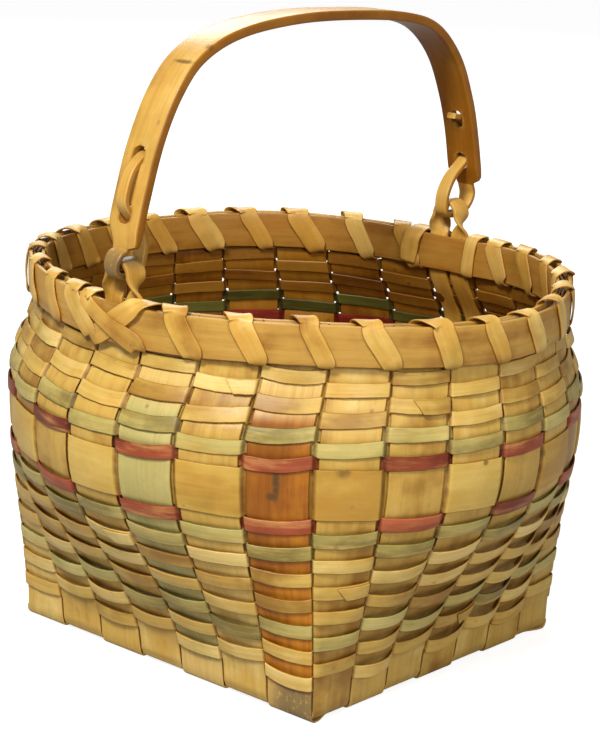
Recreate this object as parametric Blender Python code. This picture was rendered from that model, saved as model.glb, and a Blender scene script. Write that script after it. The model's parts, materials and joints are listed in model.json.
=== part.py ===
"""Swing-handle splint basket: a square plaited base, woven walls that turn round, a lashed rim,
two bent ears and a carved bow handle that swings in them. Metres, +Z up, base underside on z = 0.
The ears stand on the +X and -X sides, and the handle turns about the X axis through them."""

import math

import bmesh
import bpy
from mathutils import Vector

MM = 0.001

# Splints and the spaces that the weave keeps between them.
STAKE_THICK = 1.0 * MM
STAKE_WIDTH_X = 25.5 * MM
STAKE_WIDTH_Y = 23.5 * MM
WEAVER_THICK = 0.8 * MM
WEAVER_LIFT = 1.4 * MM
ROW_GAP = 0.4 * MM
SIDE_GAP = 0.5 * MM

# The walls' middle surface: a rectangle at the base that turns into an oval.
STAKES_PER_SIDE = 7
SIDES = 4
PITCHES = STAKES_PER_SIDE * SIDES
BASE_X = 95.0 * MM
BASE_Y = 103.0 * MM
BELLY_X = 146.0 * MM
BELLY_Y = 149.0 * MM
RIM_X = 128.0 * MM
RIM_Y = 142.0 * MM
ROUND_AT = 125.0 * MM
BELLY_TOP = 138.0 * MM
RIM_FROM = 177.0 * MM
CHORD_HALF = 0.42

# Heights of the rows, from the base up.
FOLD_TOP = 4.0 * MM
ROWS_FROM = 15.4 * MM
LOW_ROWS = 13
LOW_PITCH = 7.0 * MM
WIDE_ROW = 24.5 * MM
TOP_ROWS = 7
TOP_PITCH = 6.5 * MM
RIM_TOP = 197.5 * MM
HOOP_HEIGHT = 19.5 * MM

# Base plait: two layers of crossing splints.
BASE_MIDDLE = 1.2 * MM
BASE_LIFT = 0.7 * MM
FOLD_STEP = 0.5 * MM

# Rim: a hoop on each face of the wall, bound by a flat lashing.
HOOP_THICK = 2.0 * MM
HOOP_OFFSET = 3.2 * MM
HOOP_AT_EAR = 5.9 * MM
LASH_THICK = 0.8 * MM
LASH_CLEAR = 0.6 * MM
LASH_WIDE = 9.0 * MM
LASH_NARROW = 3.4 * MM
LASH_AT_EAR = 6.5 * MM
LASH_CORNER = 0.8 * MM
LASH_EAR_STEPS = 5

# Ears: one bent strip each, two legs down inside the wall.
EAR_PITCHES = (3, 17)
EAR_THICK = 2.2 * MM
EAR_WIDTH = 12.0 * MM
EAR_LEG_Y = 7.3 * MM
EAR_INSET = 3.5 * MM
EAR_LEG_END = 118.0 * MM
AXIS_HEIGHT = RIM_TOP + 10.5 * MM
ARCH_RADIUS = 7.1 * MM
ARCH_STEPS = 8
TWIST_STEPS = 3

# Handle: a flat bow, and at each end a narrow tail that loops through the ear and two slots.
BOW_WIDTH = 20.6 * MM
BOW_THICK = 5.0 * MM
TAIL_THICK = 3.0 * MM
CURVE_STEPS = 3
TAIL_INSIDE_BOW = 4.0 * MM
SLOT_WIDTH = 9.0 * MM

# The bow's middle line and each tail's, as (x, z) in mm, with the tail's width at each point.
BOW_LINE = (
    (-127.0, 221.0), (-120.8, 244.0), (-112.3, 270.0), (-100.3, 293.0), (-84.2, 309.5),
    (-57.0, 319.8), (-15.0, 324.2), (30.0, 323.5), (68.0, 320.3), (92.5, 313.2),
    (111.0, 296.8), (123.2, 274.0), (130.4, 252.0), (136.6, 224.0),
)
LEFT_TAIL = (
    (-131.0, 218.4, 10.0), (-133.4, 214.2, 9.0), (-132.4, 210.0, 8.0), (-128.4, 208.0, 7.3),
    (-121.0, 208.0, 7.3), (-116.6, 210.2, 7.6), (-115.2, 215.0, 8.0), (-114.0, 222.5, 8.0),
    (-116.6, 230.2, 7.6), (-122.6, 236.8, 7.2), (-127.0, 243.2, 7.0), (-125.6, 250.8, 6.8),
    (-121.8, 258.2, 6.6), (-115.0, 263.8, 6.4), (-107.5, 266.0, 6.0),
)
RIGHT_TAIL = (
    (138.4, 218.6, 10.0), (137.0, 213.4, 9.0), (133.0, 209.4, 8.0), (128.2, 208.0, 7.3),
    (121.0, 208.0, 7.3), (116.8, 210.2, 7.6), (116.0, 215.4, 8.0), (117.4, 221.5, 8.0),
    (122.6, 229.0, 7.6), (132.6, 236.6, 7.2), (138.8, 242.2, 7.0), (138.4, 249.4, 6.8),
    (135.2, 256.4, 6.6), (128.0, 261.4, 6.4), (120.5, 263.0, 6.0),
)
# Each slot's centre on the bow, as (x, z) in mm, with its length along the bow.
SLOTS = (
    (-122.8, 237.0, 10.5), (-114.6, 263.9, 11.5), (133.4, 237.4, 10.0), (127.6, 261.4, 11.0),
)

# Colour, roughness and metallic value of each material.
TAN = ("splint_tan", (0.52, 0.31, 0.10), 0.55)
GREEN = ("splint_green", (0.42, 0.34, 0.13), 0.60)
RED = ("splint_red", (0.38, 0.13, 0.07), 0.60)
ORANGE = ("splint_orange", (0.33, 0.13, 0.02), 0.60)
RIM_WOOD = ("rim_wood", (0.55, 0.33, 0.11), 0.50)
LASH_WOOD = ("lashing_splint", (0.50, 0.29, 0.08), 0.55)
HANDLE_WOOD = ("handle_wood", (0.60, 0.40, 0.14), 0.42)
GREEN_ROWS = (5, 6, 10, 11, 17, 18)
RED_ROWS = (7, 9)
WIDE_ROW_NUMBER = 8


def clear_scene():
    for obj in list(bpy.data.objects):
        bpy.data.objects.remove(obj, do_unlink=True)


def material(kind):
    name, colour, roughness = kind
    found = bpy.data.materials.get(name)
    if found:
        return found
    made = bpy.data.materials.new(name)
    made.use_nodes = True
    shader = made.node_tree.nodes["Principled BSDF"]
    shader.inputs["Base Color"].default_value = (*colour, 1.0)
    shader.inputs["Roughness"].default_value = roughness
    shader.inputs["Metallic"].default_value = 0.0
    made.diffuse_color = (*colour, 1.0)
    return made


def section(centre, across, out, width, thick):
    """One cross-section of a strip: (a in, a out, b out, b in), with a and b its two edges."""
    half = across * (width / 2)
    lift = out * (thick / 2)
    return (centre - half - lift, centre - half + lift, centre + half + lift, centre + half - lift)


def strip_mesh(name, sections, loop):
    """A closed solid through the sections. Its wide faces all split along the same diagonal."""
    bm = bmesh.new()
    rows = [[bm.verts.new(point) for point in points] for points in sections]
    last = len(rows) if loop else len(rows) - 1
    for index in range(last):
        a_in, a_out, b_out, b_in = rows[index]
        a_in2, a_out2, b_out2, b_in2 = rows[(index + 1) % len(rows)]
        bm.faces.new((a_out, a_out2, b_out2))
        bm.faces.new((a_out, b_out2, b_out))
        bm.faces.new((a_in, b_in2, a_in2))
        bm.faces.new((a_in, b_in, b_in2))
        bm.faces.new((a_in, a_in2, a_out2, a_out))
        bm.faces.new((b_out, b_out2, b_in2, b_in))
    if not loop:
        bm.faces.new(rows[0])
        bm.faces.new(rows[-1][::-1])
    bmesh.ops.recalc_face_normals(bm, faces=bm.faces)
    mesh = bpy.data.meshes.new(name)
    bm.to_mesh(mesh)
    bm.free()
    return mesh


def add_object(name, mesh, kind, location=(0.0, 0.0, 0.0), turn=0.0):
    obj = bpy.data.objects.new(name, mesh)
    obj.location = location
    obj.rotation_euler = (0.0, 0.0, turn)
    obj.data.materials.append(material(kind))
    bpy.context.scene.collection.objects.link(obj)
    return obj


def smoothstep(value):
    value = min(max(value, 0.0), 1.0)
    return value * value * (3 - 2 * value)


def wall_levels():
    """Heights at which every stake and weaver bends, so that their faces stay parallel."""
    levels = [FOLD_TOP]
    levels += [ROWS_FROM + LOW_PITCH * row for row in range(LOW_ROWS + 1)]
    wide_top = levels[-1] + WIDE_ROW
    levels += [wide_top + TOP_PITCH * row for row in (0, 2, 4, 6, TOP_ROWS)]
    levels += [RIM_TOP - HOOP_HEIGHT + ROW_GAP, RIM_TOP - ROW_GAP]
    return levels


LEVELS = wall_levels()


def wall_point(pitch, height):
    """The walls' middle surface at a number of stake pitches round from the +X, -Y corner."""
    side = int(pitch // STAKES_PER_SIDE) % SIDES
    along = (pitch % STAKES_PER_SIDE) / STAKES_PER_SIDE * 2 - 1
    square = (
        (BASE_X, BASE_Y * along),
        (-BASE_X * along, BASE_Y),
        (-BASE_X, -BASE_Y * along),
        (BASE_X * along, -BASE_Y),
    )[side]
    angle = (pitch - STAKES_PER_SIDE / 2) * math.tau / PITCHES
    roundness = smoothstep(height / ROUND_AT)
    shoulder = smoothstep((height - BELLY_TOP) / (RIM_FROM - BELLY_TOP))
    oval_x = (BELLY_X + (RIM_X - BELLY_X) * shoulder) * math.cos(angle)
    oval_y = (BELLY_Y + (RIM_Y - BELLY_Y) * shoulder) * math.sin(angle)
    return Vector((
        square[0] + (oval_x - square[0]) * roundness,
        square[1] + (oval_y - square[1]) * roundness,
        height,
    ))


def stake_width(stake):
    return (STAKE_WIDTH_X, STAKE_WIDTH_Y)[stake // STAKES_PER_SIDE % 2]


def chord_at_level(stake, height):
    """Middle point, direction round the wall and outward normal of the stake at a level."""
    first = wall_point(stake + 0.5 - CHORD_HALF, height)
    last = wall_point(stake + 0.5 + CHORD_HALF, height)
    along = (last - first).normalized()
    return (first + last) / 2, along, Vector((along.y, -along.x, 0.0))


def chord(stake, height):
    """The same at any height, straight between the two nearest levels."""
    above = next((index for index, level in enumerate(LEVELS) if level > height), len(LEVELS) - 1)
    above = max(above, 1)
    low = LEVELS[above - 1]
    high = LEVELS[above]
    share = (height - low) / (high - low)
    ends = zip(chord_at_level(stake, low), chord_at_level(stake, high))
    return tuple(start.lerp(end, share) for start, end in ends)


def bend(index, height):
    """Bend number index of the 56 round the wall, two beside each stake: (point, normal)."""
    stake = index // 2 % PITCHES
    middle, along, normal = chord(stake, height)
    reach = stake_width(stake) / 2 + SIDE_GAP
    return middle + along * (reach if index % 2 else -reach), normal


def add_weaver(name, low, high, over_even, kind):
    """A flat strip woven round the wall, outside every second stake."""
    sections = []
    for index in range(2 * PITCHES):
        outside = (index // 2 % 2 == 0) == over_even
        lift = WEAVER_LIFT if outside else -WEAVER_LIFT
        low_point, low_normal = bend(index, low)
        high_point, high_normal = bend(index, high)
        inner = lift - WEAVER_THICK / 2
        outer = lift + WEAVER_THICK / 2
        sections.append((
            low_point + low_normal * inner,
            low_point + low_normal * outer,
            high_point + high_normal * outer,
            high_point + high_normal * inner,
        ))
    add_object(name, strip_mesh(name, sections, loop=True), kind)


def row_heights():
    """(number, low, high) of each row, from the top one, number 1, down."""
    rows = []
    top = LEVELS[-3]
    for number in range(1, TOP_ROWS + LOW_ROWS + 2):
        pitch = TOP_PITCH if number <= TOP_ROWS else LOW_PITCH
        height = WIDE_ROW if number == WIDE_ROW_NUMBER else pitch
        rows.append((number, top - height + ROW_GAP / 2, top - ROW_GAP / 2))
        top -= height
    return rows


def add_weavers():
    for number, low, high in row_heights():
        kind = GREEN if number in GREEN_ROWS else RED if number in RED_ROWS else TAN
        add_weaver(f"weaver_{number:02d}", low, high, number % 2 == 1, kind)
    low = RIM_TOP - HOOP_HEIGHT + 2 * ROW_GAP
    add_weaver("rim_weaver", low, RIM_TOP - 2 * ROW_GAP, True, TAN)


def wall_sections(stake):
    """A stake's sections up its wall, from the base to the rim."""
    sections = []
    for height in LEVELS:
        middle, along, normal = chord_at_level(stake, height)
        sections.append(section(middle, along, normal, stake_width(stake), STAKE_THICK))
    return sections


def base_sections(travel, across, place, width, crossings, crossing_width, wall, first_up):
    """A stake's sections over and under the crossing stakes, and the folds at both ends."""
    down = Vector((0.0, 0.0, -1.0))
    sections = []
    for number, crossing in enumerate(crossings):
        up = (number % 2 == 0) == first_up
        height = BASE_MIDDLE + (BASE_LIFT if up else -BASE_LIFT)
        reach = crossing_width / 2 + SIDE_GAP
        line = across * place + Vector((0.0, 0.0, height))
        if number == 0:
            out = (down - travel).normalized()
            centre = line - travel * (wall - FOLD_STEP) - down * FOLD_STEP
            sections.append(section(centre, across, out, width, STAKE_THICK))
        for shift in (-reach, reach):
            centre = line + travel * (crossing + shift)
            sections.append(section(centre, across, down, width, STAKE_THICK))
        if number == len(crossings) - 1:
            out = (down + travel).normalized()
            centre = line + travel * (wall - FOLD_STEP) - down * FOLD_STEP
            sections.append(section(centre, across, out, width, STAKE_THICK))
    return sections


def stake_places(half_side):
    pitch = 2 * half_side / STAKES_PER_SIDE
    return [(index - (STAKES_PER_SIDE - 1) / 2) * pitch for index in range(STAKES_PER_SIDE)]


def flipped(points):
    """The same section with its two edges exchanged."""
    return (points[3], points[2], points[1], points[0])


def add_stakes():
    """Each stake runs up one wall, through the base and up the opposite wall."""
    places_y = stake_places(BASE_Y)
    places_x = stake_places(BASE_X)
    last = STAKES_PER_SIDE - 1
    for index in range(STAKES_PER_SIDE):
        first_up = index % 2 == 0
        base = base_sections(
            Vector((1.0, 0.0, 0.0)), Vector((0.0, 1.0, 0.0)), places_y[index],
            STAKE_WIDTH_X, places_x, STAKE_WIDTH_Y, BASE_X, not first_up,
        )
        rise = wall_sections(index)
        fall = [flipped(points) for points in wall_sections(2 * STAKES_PER_SIDE + last - index)]
        kind = {0: ORANGE, 2: GREEN}.get(index, TAN)
        name = f"stake_x_{index + 1}"
        add_object(name, strip_mesh(name, fall[::-1] + base + rise, loop=False), kind)

        base = base_sections(
            Vector((0.0, 1.0, 0.0)), Vector((-1.0, 0.0, 0.0)), -places_x[index],
            STAKE_WIDTH_Y, places_y, STAKE_WIDTH_X, BASE_Y, first_up,
        )
        rise = wall_sections(STAKES_PER_SIDE + last - index)
        fall = [flipped(points) for points in wall_sections(3 * STAKES_PER_SIDE + index)]
        name = f"stake_y_{index + 1}"
        add_object(name, strip_mesh(name, fall[::-1] + base + rise, loop=False), TAN)


def beside_ear(index):
    """Whether a bend is at an ear's stake or the near side of its neighbours."""
    return any(2 * pitch - 1 <= index <= 2 * pitch + 2 for pitch in EAR_PITCHES)


def hoop_offset(index, outside):
    index %= 2 * PITCHES
    if outside:
        return HOOP_OFFSET
    return -HOOP_AT_EAR if beside_ear(index) else -HOOP_OFFSET


def add_hoop(name, outside):
    up = Vector((0.0, 0.0, 1.0))
    sections = []
    for index in range(2 * PITCHES):
        point, normal = bend(index, RIM_TOP - HOOP_HEIGHT / 2)
        centre = point + normal * hoop_offset(index, outside)
        sections.append(section(centre, up, normal, HOOP_HEIGHT, HOOP_THICK))
    add_object(name, strip_mesh(name, sections, loop=True), RIM_WOOD)


def hoop_surface(pitch, outside):
    """Middle of a hoop's outer or inner face at a number of pitches round, and its normal."""
    stake = math.floor(pitch)
    share = pitch - stake
    half = CHORD_HALF
    if share < 0.5 - half:
        index = 2 * stake - 1
        part = (share + 0.5 - half) / (1 - 2 * half)
    elif share > 0.5 + half:
        index = 2 * stake + 1
        part = (share - 0.5 - half) / (1 - 2 * half)
    else:
        index = 2 * stake
        part = (share - 0.5 + half) / (2 * half)
    ends = []
    for number in (index, index + 1):
        point, normal = bend(number, RIM_TOP - HOOP_HEIGHT / 2)
        face = HOOP_THICK / 2 if outside else -HOOP_THICK / 2
        ends.append((point + normal * (hoop_offset(number, outside) + face), normal))
    (start, start_normal), (end, end_normal) = ends
    return start.lerp(end, part), start_normal.lerp(end_normal, part).normalized()


def lash_section(pitch, place, width, drop=0.0):
    """The lashing's section at one of its places round the rim, drop of the way down a face."""
    top = RIM_TOP + LASH_CLEAR / 2 + LASH_THICK / 2
    low = RIM_TOP - HOOP_HEIGHT - ROW_GAP - LASH_THICK / 2
    outside = place.startswith("out")
    face, normal = hoop_surface(pitch, outside)
    side = 1.0 if outside else -1.0
    edge = face + normal * side * (LASH_CLEAR + LASH_THICK / 2)
    across = Vector((-normal.y, normal.x, 0.0))
    up = Vector((0.0, 0.0, 1.0))
    if place == "through":
        outer = hoop_surface(pitch, True)[0]
        centre = (outer + face) / 2
        return section(Vector((centre.x, centre.y, low)), across, -up, width, LASH_THICK)
    inset = normal * side * (LASH_CLEAR + LASH_THICK)
    face_top = top - LASH_CORNER
    face_low = low + LASH_CORNER
    centre, out = {
        "top": (Vector((edge.x, edge.y, top)) - inset, up),
        "face": (Vector((edge.x, edge.y, face_top + (face_low - face_top) * drop)), normal * side),
        "under": (Vector((edge.x, edge.y, low)) - inset, -up),
    }[place.split("_")[1]]
    return section(centre, across, out, width, LASH_THICK)


def add_lashing():
    """One flat strip wound 28 times round both hoops, and crossing in front of each ear."""
    sections = []
    for gap in range(PITCHES):
        in_low, in_high, out_high, wide = gap + 0.18, gap + 0.56, gap + 0.76, LASH_WIDE
        if gap in EAR_PITCHES:
            in_low, in_high, out_high, wide = gap - 0.04, gap - 0.12, gap - 0.12, LASH_AT_EAR
        elif gap + 1 in EAR_PITCHES:
            in_low, in_high, out_high = gap + 0.15, gap + 0.40, gap + 0.46
        sections += [
            lash_section(gap, "through", LASH_NARROW),
            lash_section((gap + in_low) / 2, "in_under", (LASH_NARROW + wide) / 2),
            lash_section(in_low, "in_face", wide, drop=1.0),
            lash_section(in_high, "in_face", wide),
            lash_section(in_high, "in_top", wide),
            lash_section(out_high, "out_top", wide),
        ]
        steps = LASH_EAR_STEPS if gap in EAR_PITCHES else 1
        for step in range(steps + 1):
            drop = step / steps
            pitch = out_high + (gap + 1 - out_high) * drop
            width = wide + (LASH_WIDE - wide) * drop
            sections.append(lash_section(pitch, "out_face", width, drop))
        under_width = (LASH_NARROW + LASH_WIDE) / 2
        sections.append(lash_section(gap + 1, "out_under", under_width))
    add_object("rim_lashing", strip_mesh("rim_lashing", sections, loop=True), LASH_WOOD)


def ear_leg(side):
    """A leg's sections from its lower end to the start of the arch."""
    sections = []
    heights = [EAR_LEG_END] + [level for level in LEVELS if level > EAR_LEG_END] + [RIM_TOP + MM]
    for height in heights:
        middle = chord(EAR_PITCHES[0], min(height, LEVELS[-1]))[0]
        centre = Vector((middle.x - EAR_INSET, side * EAR_LEG_Y, height))
        across = Vector((0.0, -side, 0.0))
        sections.append(section(centre, across, Vector((1.0, 0.0, 0.0)), EAR_WIDTH, EAR_THICK))
    for step in range(1, TWIST_STEPS + 1):
        share = step / TWIST_STEPS
        turn = -side * share * math.pi / 2
        y = side * (EAR_LEG_Y + (ARCH_RADIUS - EAR_LEG_Y) * share)
        z = RIM_TOP + MM + (AXIS_HEIGHT - RIM_TOP - MM) * share
        centre = Vector((RIM_X - EAR_INSET, y, z))
        across = Vector((math.sin(abs(turn)), -side * math.cos(turn), 0.0))
        out = Vector((math.cos(turn), side * math.sin(abs(turn)), 0.0))
        sections.append(section(centre, across, out, EAR_WIDTH, EAR_THICK))
    return sections


def add_ears():
    arch = []
    for step in range(1, ARCH_STEPS):
        angle = math.pi * (1 - step / ARCH_STEPS)
        out = Vector((0.0, math.cos(angle), math.sin(angle)))
        centre = Vector((RIM_X - EAR_INSET, 0.0, AXIS_HEIGHT)) + out * ARCH_RADIUS
        arch.append(section(centre, Vector((1.0, 0.0, 0.0)), out, EAR_WIDTH, EAR_THICK))
    sections = ear_leg(-1.0) + arch + ear_leg(1.0)[::-1]
    add_object("ear_right", strip_mesh("ear_right", sections, loop=False), HANDLE_WOOD)
    mesh = strip_mesh("ear_left", sections, loop=False)
    add_object("ear_left", mesh, HANDLE_WOOD, turn=math.pi)


def smooth_line(points, steps):
    """A Catmull-Rom curve through the points, each a tuple of numbers, with steps to a stretch."""
    knots = [Vector(point) for point in points]
    knots = [2 * knots[0] - knots[1]] + knots + [2 * knots[-1] - knots[-2]]
    line = []
    for before, start, end, after in zip(knots, knots[1:], knots[2:], knots[3:]):
        for step in range(steps):
            t = step / steps
            line.append(0.5 * (
                2 * start + (end - before) * t + (2 * before - 5 * start + 4 * end - after) * t * t
                + (3 * start - before - 3 * end + after) * t ** 3
            ))
    line.append(knots[-2])
    return line


def handle_strip(name, line, widths, thickness):
    """A strip along a line of (x, z) in mm, as a mesh with its origin on the swing axis."""
    sections = []
    for index, point in enumerate(line):
        before = line[max(index - 1, 0)]
        after = line[min(index + 1, len(line) - 1)]
        run = Vector((after[0] - before[0], 0.0, after[1] - before[1])).normalized()
        out = Vector((-run.z, 0.0, run.x))
        centre = Vector((point[0] * MM, 0.0, point[1] * MM - AXIS_HEIGHT))
        sections.append(section(centre, Vector((0.0, 1.0, 0.0)), out, widths[index], thickness))
    return strip_mesh(name, sections, loop=False)


def as_cutter(obj):
    obj.hide_render = True
    obj.display_type = "WIRE"


def combine(target, other, operation):
    modifier = target.modifiers.new(other.name, "BOOLEAN")
    modifier.operation = operation
    modifier.object = other
    as_cutter(other)


def slot_cutter(index, x, z, length, line):
    """A block that cuts a slot through the bow, square to it."""
    near = min(range(1, len(line) - 1), key=lambda i: (line[i] - Vector((x, z))).length)
    run = line[near + 1] - line[near - 1]
    bm = bmesh.new()
    bmesh.ops.create_cube(bm, size=1.0)
    bmesh.ops.scale(bm, vec=(length * MM, SLOT_WIDTH, 3 * BOW_THICK), verts=bm.verts)
    mesh = bpy.data.meshes.new(f"slot_cutter_{index}")
    bm.to_mesh(mesh)
    bm.free()
    cutter = add_object(mesh.name, mesh, HANDLE_WOOD, (x * MM, 0.0, z * MM))
    cutter.rotation_euler = (0.0, -math.atan2(run[1], run[0]), 0.0)
    return cutter


def add_handle():
    line = smooth_line(BOW_LINE, CURVE_STEPS)
    widths = [BOW_WIDTH] * len(line)
    widths[0] = widths[-1] = BOW_WIDTH * 0.55
    place = (0.0, 0.0, AXIS_HEIGHT)
    mesh = handle_strip("handle_bow", line, widths, BOW_THICK)
    bow = add_object("handle_bow", mesh, HANDLE_WOOD, place)
    for index, (x, z, length) in enumerate(SLOTS):
        combine(bow, slot_cutter(index, x, z, length, line), "DIFFERENCE")
    for name, points, foot in (("left_tail", LEFT_TAIL, 0), ("right_tail", RIGHT_TAIL, -1)):
        inner = BOW_LINE[1] if foot == 0 else BOW_LINE[-2]
        end = Vector(BOW_LINE[foot])
        start = end + (Vector(inner) - end).normalized() * TAIL_INSIDE_BOW / MM
        points = ((start[0], start[1], points[0][2]),) + points
        path = smooth_line(points, CURVE_STEPS)
        tail_widths = [point[2] * MM for point in path]
        tail_mesh = handle_strip(name, path, tail_widths, TAIL_THICK)
        combine(bow, add_object(name, tail_mesh, HANDLE_WOOD, place), "UNION")


def main():
    clear_scene()
    add_stakes()
    add_weavers()
    add_hoop("rim_hoop_outer", outside=True)
    add_hoop("rim_hoop_inner", outside=False)
    add_lashing()
    add_ears()
    add_handle()


main()
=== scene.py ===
"""The looks of the swing-handle splint basket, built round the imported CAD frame."""

import json
import math

import bmesh
import bpy
import numpy as np
from mathutils import Matrix, Vector


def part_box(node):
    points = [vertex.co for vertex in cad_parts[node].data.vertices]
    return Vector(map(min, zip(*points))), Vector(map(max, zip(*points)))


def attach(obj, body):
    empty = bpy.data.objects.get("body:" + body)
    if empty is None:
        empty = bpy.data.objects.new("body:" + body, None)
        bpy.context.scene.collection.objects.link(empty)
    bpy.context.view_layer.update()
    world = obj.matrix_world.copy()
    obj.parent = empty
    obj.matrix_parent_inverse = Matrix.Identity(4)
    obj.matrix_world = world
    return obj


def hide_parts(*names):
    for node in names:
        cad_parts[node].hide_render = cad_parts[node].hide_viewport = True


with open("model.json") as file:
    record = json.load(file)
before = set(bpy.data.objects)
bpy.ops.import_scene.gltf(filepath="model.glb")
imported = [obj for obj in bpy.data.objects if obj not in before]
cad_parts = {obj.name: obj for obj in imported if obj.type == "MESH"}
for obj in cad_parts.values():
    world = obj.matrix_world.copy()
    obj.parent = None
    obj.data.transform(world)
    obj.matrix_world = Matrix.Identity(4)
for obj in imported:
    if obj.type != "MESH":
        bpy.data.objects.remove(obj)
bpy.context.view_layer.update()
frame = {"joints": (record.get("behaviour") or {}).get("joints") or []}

MM = 0.001
BODY = "basket"
HANDLE = "handle"

# The walls' middle surface, as the CAD frame has it.
STAKES_PER_SIDE = 7
PITCHES = 4 * STAKES_PER_SIDE
SMALL_PITCH = 0.02
BASE_X = 95.0 * MM
BASE_Y = 103.0 * MM
BELLY_X = 146.0 * MM
BELLY_Y = 149.0 * MM
RIM_X = 128.0 * MM
RIM_Y = 142.0 * MM
ROUND_AT = 125.0 * MM
BELLY_TOP = 138.0 * MM
RIM_FROM = 177.0 * MM
# A stake's width at the base, belly and rim: of those that run along X, then of those along Y.
STAKE_BASE = (28.5 * MM, 26.2 * MM)
STAKE_BELLY = (29.4 * MM, 28.6 * MM)
STAKE_RIM = (28.6 * MM, 28.0 * MM)
STAKE_THICK = 0.9 * MM
# Half the width that the grain is laid out on.
STAKE_GRAIN = 13 * MM
HOOP_GRAIN = 10 * MM
LASH_GRAIN = 5 * MM
# How far a row pushes a stake in or out.
ROW_PUSH = 0.3 * MM
RIM_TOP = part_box("rim_hoop_outer")[1].z
HOOP_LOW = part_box("rim_hoop_outer")[0].z
RIM_MIDDLE = (RIM_TOP + HOOP_LOW) / 2
EAR_PITCHES = (3, 17)
LOW_LIFT = 2.7 * MM
RIM_DIP = 2.4 * MM
AXIS = Vector(frame["joints"][0]["pos_m"])

# Base plait.
BASE_MIDDLE = 1.15 * MM
BASE_LIFT = 0.65 * MM
FOLD_RADIUS = 3.2 * MM
# Strips whose middle is further out than OUTERMOST are narrower by EDGE_INSET.
EDGE_INSET = 4.0 * MM
OUTERMOST = 70 * MM

# Rows are numbered from the rim down, and stakes in pitches from the corner at +X, -Y.
ROWS = 21
GREEN_ROWS = (5, 6, 10, 11, 17, 18)
RED_ROWS = (7, 9)
WIDE_ROW = 8
WEAVE_LIFT = 1.2 * MM
WEAVER_THICK = 0.8 * MM
# Rows stand looser from this stake on. One row bows out at one stake, and rows sag more at another.
LOOSE_FROM = 21
LOOSE_ROW = 2
LOOSE_STAKE = 27
SAGGING_STAKE = 20
# Where a row is sampled from one gap between stakes to the middle of the next stake, in pitches.
SEGMENT_SAMPLES = (0.0, 0.012, 0.024, 0.036, 0.05, 0.07, 0.1, 0.15, 0.22, 0.3, 0.4, 0.5)
LAP_STEP = 0.02
# Rows whose lapped end shows: row, first and last pitch of the lap.
LAPS = (
    (3, 22.35, 23.1), (14, 21.4, 22.1), (12, 17.45, 18.1), (2, 19.5, 20.1), (19, 24.45, 25.1),
    (13, 10.4, 11.1),
)
SLOT_OF = {"tan": "splint_tan", "green": "splint_green", "red": "splint_red", "orange": "splint_orange"}

# Strips. The sharp columns of a section are its corners, and its cut edges are darkened, partly for age and
# partly as painted shadow lines between strips.
SHARP_COLUMNS = (2, 6, 9, 11)
MIDDLE_COLUMN = 4
# How dark a strip's cut edges are painted: age and a painted shadow line.
EDGE_AGE_AND_SHADE = 0.8
WAVE_OCTAVES = 3


# -------- repeatable irregularity

def wave(values, seed, period=None):
    """Smooth noise from -1 to 1 along a line, the same on every run. With a period it closes on itself."""
    values = np.asarray(values, float)
    total = np.zeros_like(values)
    size = 1.0
    weight = 0.0
    for octave in range(WAVE_OCTAVES):
        cells = values * 2 ** octave
        low = np.floor(cells).astype(np.int64)
        part = smoothstep(cells - low)
        ends = []
        for step in (0, 1):
            index = low + step
            if period:
                index = index % int(period * 2 ** octave)
            ends.append(scatter(index, seed + 101 * octave))
        total += size * (ends[0] + (ends[1] - ends[0]) * part)
        weight += size
        size *= 0.5
    return total / weight


def scatter(index, seed):
    """A number from -1 to 1 for each integer, with no pattern in it."""
    value = np.sin(np.asarray(index, float) * 127.1 + seed * 311.7) * 43758.5453
    return 2 * (value - np.floor(value)) - 1


def smoothstep(value):
    value = np.clip(value, 0.0, 1.0)
    return value * value * (3 - 2 * value)


def rising(length, start, reach):
    """0 up to start and 1 from reach further on. Both are in mm."""
    return smoothstep((length - start * MM) / (reach * MM))


def inside_of(value, low, high, margin, fade):
    """1 from low to high and 0 beyond a margin, with soft ends."""
    return smoothstep((value - low + margin) / fade) * smoothstep((high + margin - value) / fade)


# -------- the walls' surface

def square_point(pitch):
    side = np.floor_divide(pitch, STAKES_PER_SIDE).astype(int) % 4
    along = np.mod(pitch, STAKES_PER_SIDE) / STAKES_PER_SIDE * 2 - 1
    x = np.choose(side, (BASE_X + 0 * along, -BASE_X * along, -BASE_X + 0 * along, BASE_X * along))
    y = np.choose(side, (BASE_Y * along, BASE_Y + 0 * along, -BASE_Y * along, -BASE_Y + 0 * along))
    return x, y


def wall_xy(pitch, height):
    """Middle surface at a number of stake pitches round and a height, with its corners eased."""
    square_x = 0
    square_y = 0
    shifts = (-0.11, -0.04, 0.04, 0.11)
    for shift in shifts:
        x, y = square_point(pitch + shift)
        square_x = square_x + x / len(shifts)
        square_y = square_y + y / len(shifts)
    angle = (pitch - STAKES_PER_SIDE / 2) * math.tau / PITCHES
    roundness = smoothstep(height / ROUND_AT)
    shoulder = smoothstep((height - BELLY_TOP) / (RIM_FROM - BELLY_TOP))
    oval_x = (BELLY_X + (RIM_X - BELLY_X) * shoulder) * np.cos(angle)
    oval_y = (BELLY_Y + (RIM_Y - BELLY_Y) * shoulder) * np.sin(angle)
    return square_x + (oval_x - square_x) * roundness, square_y + (oval_y - square_y) * roundness


def hand_made(points):
    """Small unevenness of the whole basket: the rim dips at the ears and the sides are not quite true."""
    x, y, z = points[..., 0], points[..., 1], points[..., 2]
    angle = np.arctan2(y, x)
    rise = rising(z, 60, 120)
    out = np.empty_like(points)
    swell = 1 + rise * 0.006 * np.cos(3 * angle + 0.7) + rise * 0.004 * np.cos(5 * angle + 2.0)
    out[..., 0] = x * swell
    out[..., 1] = y * swell
    dip = rise * RIM_DIP * (np.cos(4 * angle) * 0.5 + 0.5)
    lift = LOW_LIFT * smoothstep(z / (16 * MM)) * np.clip((105 * MM - z) / (86 * MM), 0, 1)
    out[..., 2] = z - dip + lift
    return out


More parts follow.
